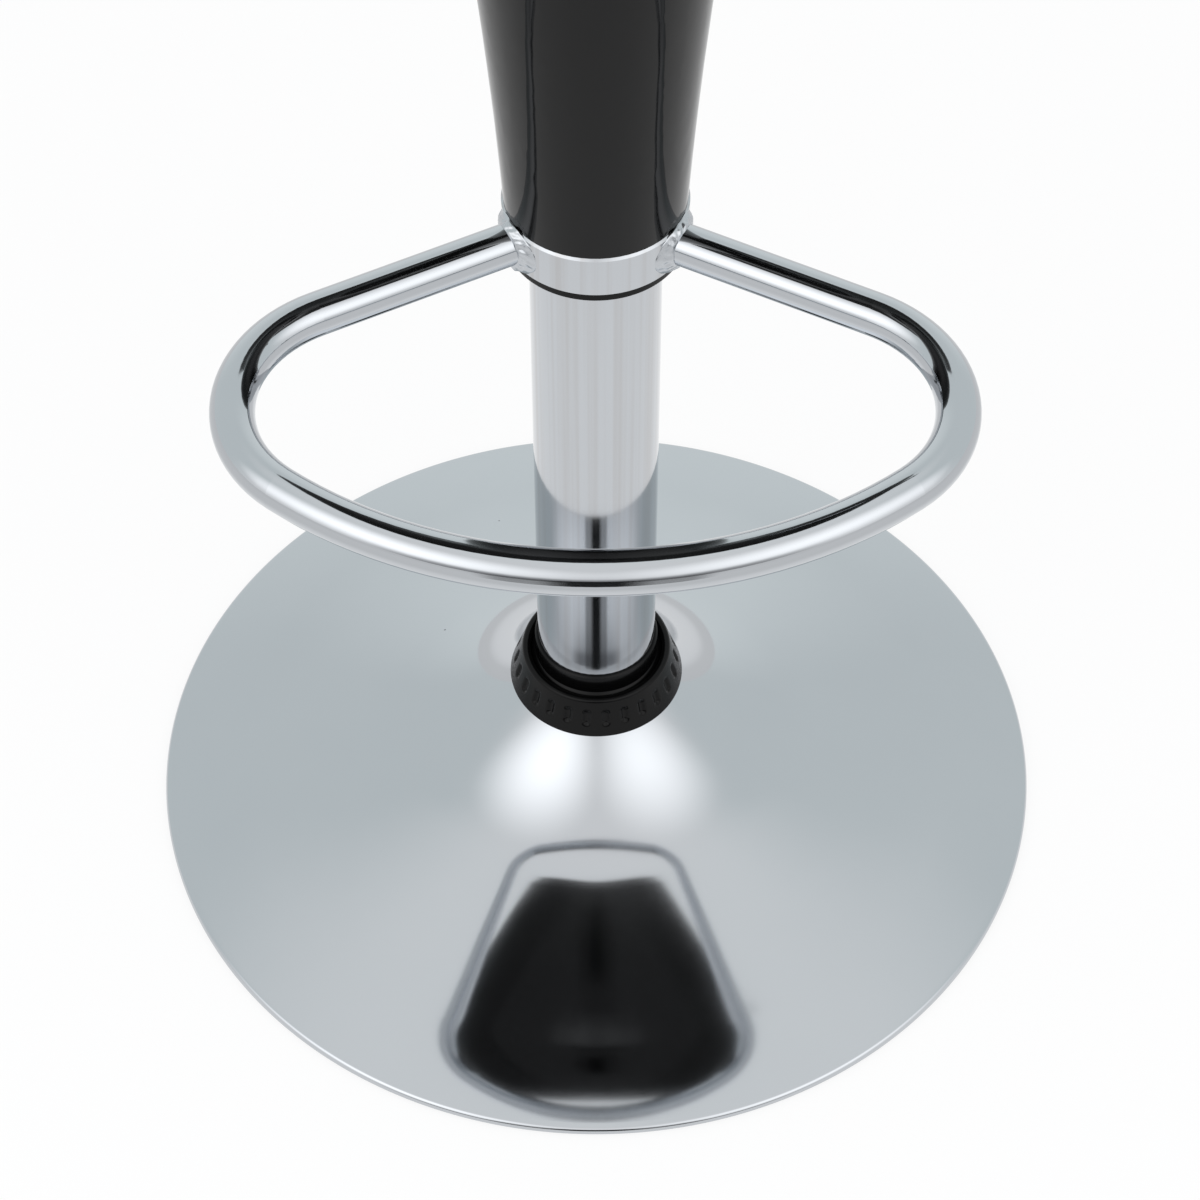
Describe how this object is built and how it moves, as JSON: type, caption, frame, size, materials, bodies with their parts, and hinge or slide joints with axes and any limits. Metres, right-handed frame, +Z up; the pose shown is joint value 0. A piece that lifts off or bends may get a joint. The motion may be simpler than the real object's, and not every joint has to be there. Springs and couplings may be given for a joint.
{
  "type": "bar stool",
  "caption": "Gas-lift bar stool: chromed trumpet base and column, looped tube footrest, tapered black stem and bucket seat that swivels, rises and locks by a lever.",
  "frame": {"origin": "on the floor, under the middle of the column", "axes": "+Z up along the column; -Y is the front, where the footrest is; the lever is on the +X side"},
  "size_m": [0.385, 0.385, 0.8482],
  "materials": {
    "chrome": "mirror chrome plate on steel",
    "gloss_black_abs": "glossy moulded",
    "black_nylon": "satin moulded",
    "black_rubber": "matte",
    "black_painted_steel": "satin paint",
    "bright_steel": "bright zinc"
  },
  "bodies": {
    "base": {"base_dish": "chrome", "base_floor_ring": "black_rubber", "base_hub": "black_painted_steel", "base_spider": "black_painted_steel", "neck_ring": "black_nylon", "column_boot": "black_nylon", "column_tube": "chrome", "column_foot_plate": "bright_steel", "column_guide_bush": "black_nylon", "bearing_lower_race": "bright_steel", "bearing_balls": "bright_steel", "bearing_cage": "black_nylon"},
    "spindle": {"bearing_upper_race": "bright_steel", "piston_rod": "bright_steel", "rod_clip": "bright_steel", "rod_buffer": "black_rubber", "piston": "bright_steel", "piston_seal": "black_rubber", "piston_nut": "bright_steel"},
    "seat": {"gas_cylinder": "black_painted_steel", "rod_gland": "bright_steel", "valve_body": "bright_steel", "taper_socket": "black_painted_steel", "mechanism_box": "black_painted_steel", "seat_plate": "black_painted_steel", "seat_screws": "bright_steel", "lift_sleeve": "black_painted_steel", "sleeve_bush": "black_nylon", "footrest_collar": "chrome", "footrest_loop": "chrome", "footrest_welds": "chrome", "stem_cover": "gloss_black_abs", "seat_bucket": "gloss_black_abs", "lever_pin": "bright_steel"},
    "lever": {"lever_rod": "chrome", "lever_grip": "black_nylon"},
    "valve": {"valve_pin": "bright_steel"}
  },
  "joints": [
    {"name": "swivel", "type": "hinge", "parent": "base", "child": "spindle", "pos_m": [0, 0, 0.0245], "axis": [0, 0, 1], "continuous": true},
    {"name": "lift", "type": "slide", "parent": "spindle", "child": "seat", "axis": [0, 0, 1], "range_m": [0, 0.2]},
    {"name": "lever_pull", "type": "hinge", "parent": "seat", "child": "lever", "pos_m": [0.024, 0, 0.60665], "axis": [0, -1, 0], "range_deg": [0, 7], "stiffness_Nm_per_rad": 2, "springref_deg": -5.73},
    {"name": "valve_press", "type": "slide", "parent": "seat", "child": "valve", "axis": [0, 0, 1], "range_m": [-0.0035, 0]}
  ],
  "couplings": [
    {"joint": "valve_press", "follows": "lever_pull", "m_per_rad": -0.024}
  ]
}
